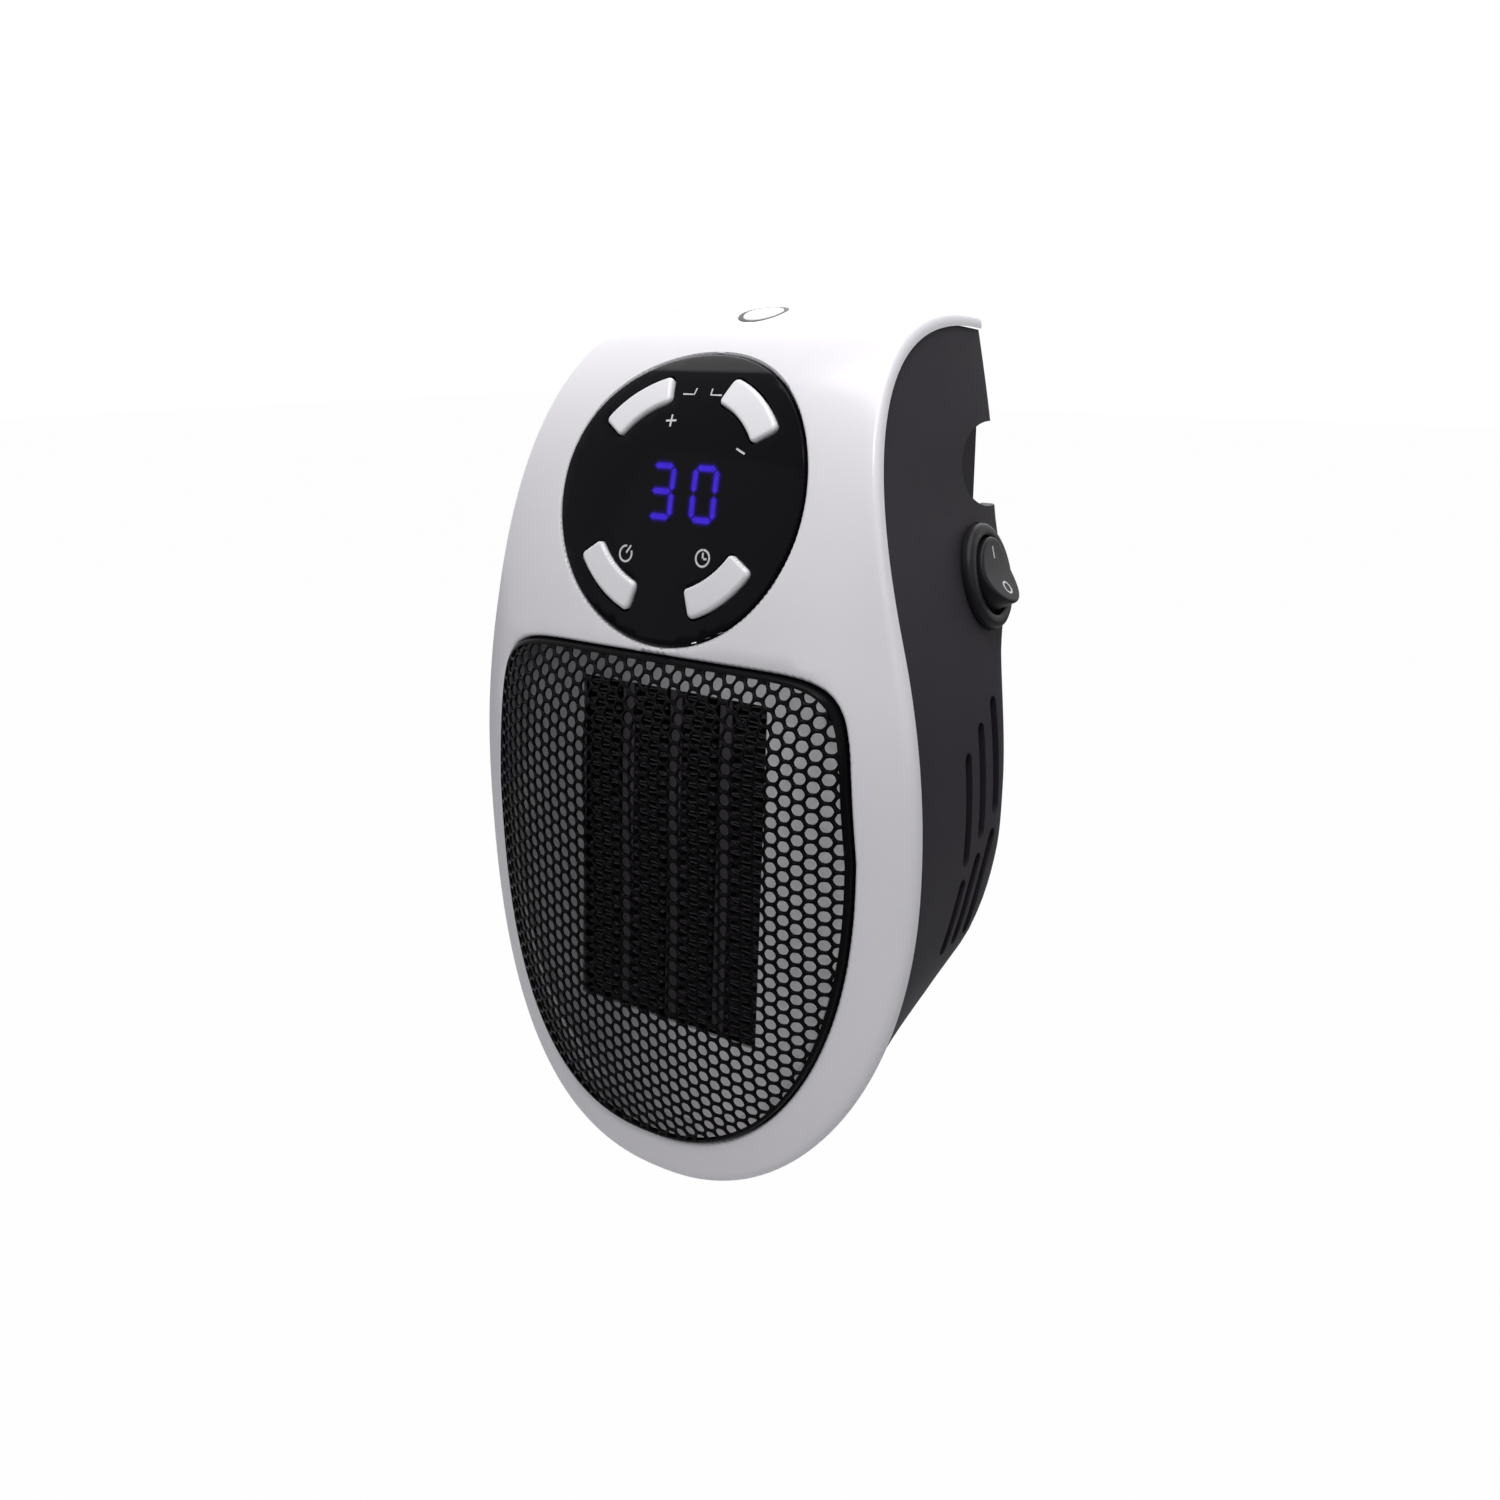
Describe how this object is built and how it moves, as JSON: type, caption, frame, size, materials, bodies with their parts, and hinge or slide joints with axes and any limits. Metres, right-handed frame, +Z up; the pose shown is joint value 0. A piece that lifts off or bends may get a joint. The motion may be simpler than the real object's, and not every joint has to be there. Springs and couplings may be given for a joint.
{
  "type": "plug-in space heater",
  "caption": "Small plug-in fan heater with a white curved front shell, round black control panel, domed black grille, dark rear housing, side rocker switch and a turning plug.",
  "frame": {"origin": "centre of the plug disc's outer face, which rests on the wall socket", "axes": "+Y towards the wall along the pins, +Z up, +X to the right as seen from the front"},
  "size_m": [0.1056, 0.0887, 0.171],
  "materials": {
    "shell_white": "pearl white, satin gloss",
    "housing_charcoal": "charcoal, fine matte",
    "grille_black": "black, baked paint",
    "panel_black": "black, high gloss",
    "button_silver": "silvery white, satin",
    "indicator_lens": "clear grey, gloss",
    "inner_black": "black, moulded",
    "inner_grey": "grey, moulded",
    "sheet_steel": "bright, rolled",
    "core_aluminium": "dull, pressed",
    "plug_nickel": "nickel plated",
    "contact_brass": "plain, stamped",
    "board_green": "green, lacquered",
    "display_dark": "dark face",
    "block_cream": "cream, unglazed",
    "part_blue": "blue, moulded"
  },
  "bodies": {
    "plug": {"plug_disc": "housing_charcoal", "plug_pin_left": "plug_nickel", "plug_pin_right": "plug_nickel", "plug_retainer": "inner_grey", "contact_ring_inner": "contact_brass", "contact_ring_outer": "contact_brass"},
    "heater": {"front_shell": "shell_white", "rear_housing": "housing_charcoal", "grille": "grille_black", "control_panel": "panel_black", "top_indicator": "indicator_lens", "core_frame": "inner_black", "fan_frame": "inner_black", "switch_body": "inner_black", "tact_switch_1": "inner_grey", "tact_switch_2": "inner_grey", "tact_switch_3": "inner_grey", "tact_switch_4": "inner_grey", "capacitor": "inner_grey", "reflector_plate": "sheet_steel", "fan_motor": "sheet_steel", "case_screw_left": "sheet_steel", "case_screw_right": "sheet_steel", "case_screw_bottom": "sheet_steel", "fan_screw_1": "sheet_steel", "fan_screw_2": "sheet_steel", "ptc_bar_1": "core_aluminium", "ptc_bar_2": "core_aluminium", "ptc_bar_3": "core_aluminium", "fin_strip_1": "core_aluminium", "fin_strip_2": "core_aluminium", "fin_strip_3": "core_aluminium", "fin_strip_4": "core_aluminium", "contact_finger_inner": "contact_brass", "contact_finger_outer": "contact_brass", "control_board": "board_green", "power_board": "board_green", "led_display": "display_dark", "terminal_block": "block_cream", "thermal_cutout": "block_cream", "transformer": "part_blue", "relay": "part_blue"},
    "button_temp_up": {"button_temp_up": "button_silver"},
    "button_temp_down": {"button_temp_down": "button_silver"},
    "button_power": {"button_power": "button_silver"},
    "button_timer": {"button_timer": "button_silver"},
    "switch_rocker": {"switch_rocker": "inner_black"},
    "fan_rotor": {"fan_rotor": "inner_grey"}
  },
  "joints": [
    {"name": "plug_turn", "type": "hinge", "parent": "plug", "child": "heater", "pos_m": [0, 0, 0], "axis": [0, 1, 0], "range_deg": [-90, 90]},
    {"name": "button_temp_up_press", "type": "slide", "parent": "heater", "child": "button_temp_up", "axis": [0, 0.9304, -0.3665], "range_m": [0, 0.0005], "stiffness_N_per_m": 1000},
    {"name": "button_temp_down_press", "type": "slide", "parent": "heater", "child": "button_temp_down", "axis": [0, 0.9304, -0.3665], "range_m": [0, 0.0005], "stiffness_N_per_m": 1000},
    {"name": "button_power_press", "type": "slide", "parent": "heater", "child": "button_power", "axis": [0, 0.9304, -0.3665], "range_m": [0, 0.0005], "stiffness_N_per_m": 1000},
    {"name": "button_timer_press", "type": "slide", "parent": "heater", "child": "button_timer", "axis": [0, 0.9304, -0.3665], "range_m": [0, 0.0005], "stiffness_N_per_m": 1000},
    {"name": "switch_tip", "type": "hinge", "parent": "heater", "child": "switch_rocker", "pos_m": [0.04386, -0.0131, -0.02035], "axis": [-0.1011, 0.9949, 0], "range_deg": [0, 24]},
    {"name": "fan_spin", "type": "hinge", "parent": "heater", "child": "fan_rotor", "pos_m": [0, -0.0582, -0.0744], "axis": [0, 0.9984, -0.0558], "continuous": true}
  ]
}
